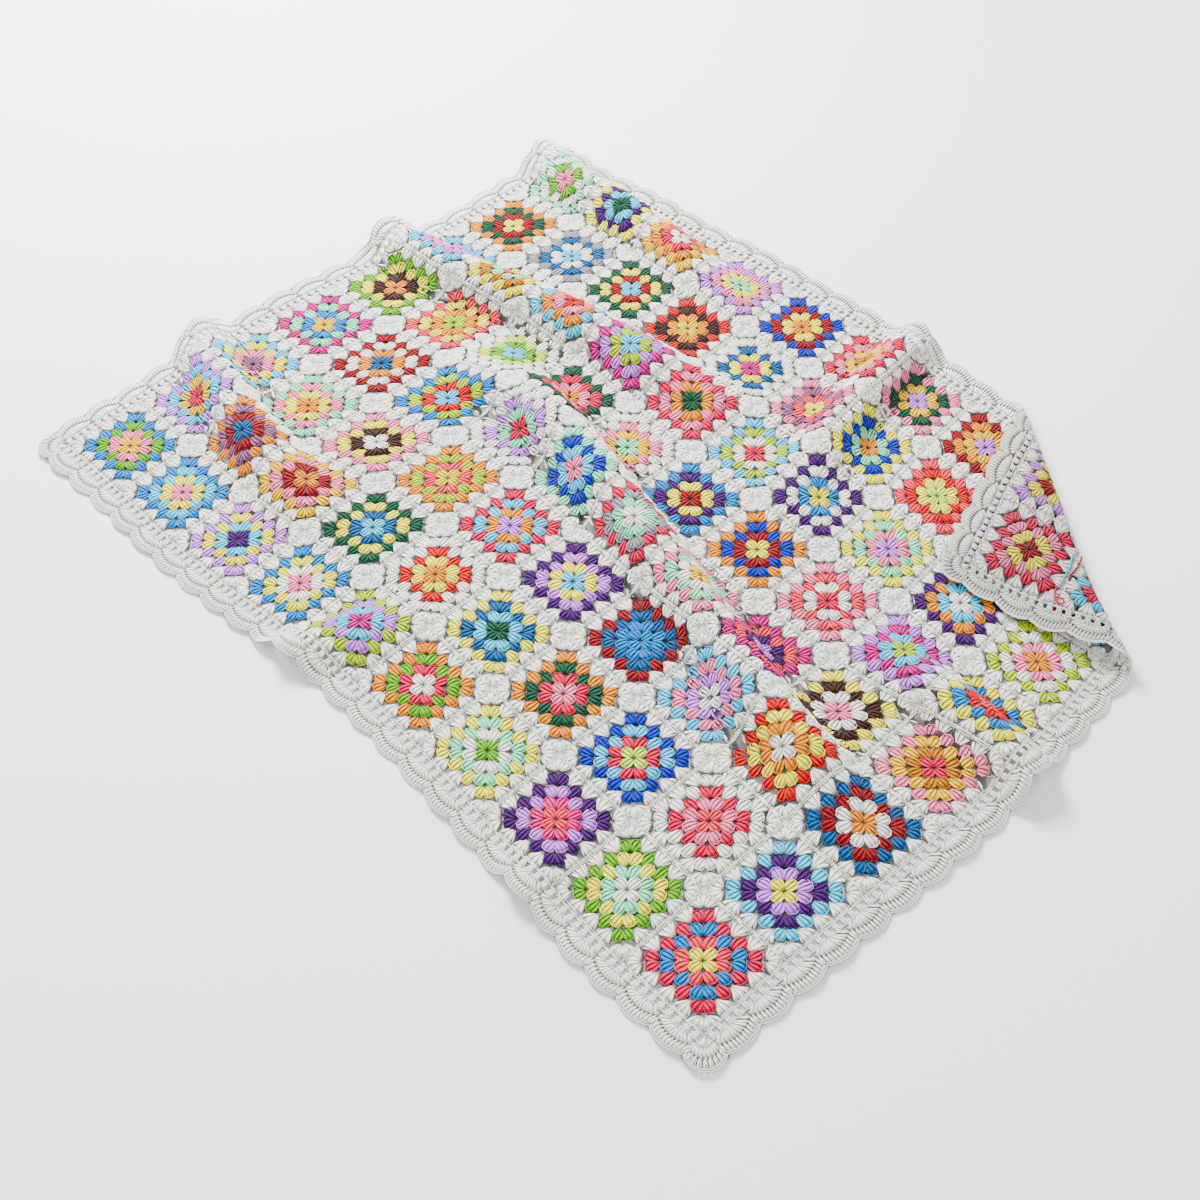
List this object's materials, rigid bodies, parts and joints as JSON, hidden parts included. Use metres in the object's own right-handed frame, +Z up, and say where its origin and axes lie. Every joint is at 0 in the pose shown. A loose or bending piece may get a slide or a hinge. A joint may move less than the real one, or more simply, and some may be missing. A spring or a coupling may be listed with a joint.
{
  "type": "crocheted granny-square blanket",
  "caption": "Crocheted patchwork throw of joined granny squares in many colours on a white ground, with a scalloped edging, laid out with soft folds and one corner turned over.",
  "frame": {"origin": "on the floor, under the middle of the box round the blanket as it lies", "axes": "+X along the blanket's long side, +Y along its short side, +Z up"},
  "size_m": [1.3092, 1.0482, 0.0505],
  "materials": {
    "coloured_cotton": "matt plied cotton yarn, crocheted in rounds of many colours with a white last round",
    "white_cotton": "matt plied off-white cotton yarn, crocheted"
  },
  "bodies": {
    "root": {"joined_squares": "coloured_cotton", "crocheted_edging": "white_cotton"}
  },
  "joints": []
}
